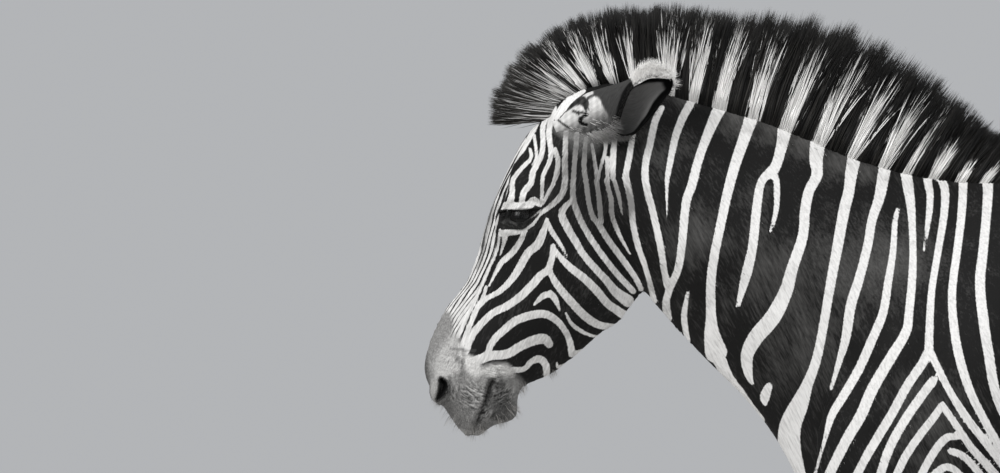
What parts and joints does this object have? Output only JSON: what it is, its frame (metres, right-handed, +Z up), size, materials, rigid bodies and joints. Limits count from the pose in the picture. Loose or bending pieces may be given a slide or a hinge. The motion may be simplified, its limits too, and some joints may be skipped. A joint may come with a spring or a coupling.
{
  "type": "zebra",
  "caption": "Life-size standing zebra with narrow black and white stripes, a tall upright mane, rounded ears and a lowered head, as a still museum model.",
  "frame": {"origin": "on the floor, under the middle of the bounding box", "axes": "+Z up; the animal faces -X, with its left side towards -Y"},
  "size_m": [2.2772, 0.572, 1.8098],
  "materials": {
    "coat": "short, close-lying coat in narrow black and white stripes, dull with a faint sheen on the black",
    "muzzle_skin": "thinly haired grey skin, finely wrinkled at the lips and smooth at the nostrils",
    "mane_hair": "stiff, upright hair, banded white and black at the roots, with dark brown to black tips",
    "hoof_horn": "dark horn with fine growth rings and a worn lower edge",
    "eye": "wet, very dark brown eye with a wide dark pupil"
  },
  "bodies": {
    "root": {"head": "coat", "lower_jaw": "coat", "neck": "coat", "chest": "coat", "barrel": "coat", "rump": "coat", "tail_dock": "coat", "ear_left": "coat", "ear_right": "coat", "fore_left_upper": "coat", "fore_left_cannon": "coat", "fore_left_pastern": "coat", "fore_right_upper": "coat", "fore_right_cannon": "coat", "fore_right_pastern": "coat", "hind_left_upper": "coat", "hind_left_cannon": "coat", "hind_left_pastern": "coat", "hind_right_upper": "coat", "hind_right_cannon": "coat", "hind_right_pastern": "coat", "muzzle": "muzzle_skin", "chin": "muzzle_skin", "forelock": "mane_hair", "mane_front": "mane_hair", "mane_middle": "mane_hair", "mane_rear": "mane_hair", "tail_tuft": "mane_hair", "fore_left_hoof": "hoof_horn", "fore_right_hoof": "hoof_horn", "hind_left_hoof": "hoof_horn", "hind_right_hoof": "hoof_horn", "eye_left": "eye", "eye_right": "eye"}
  },
  "joints": []
}
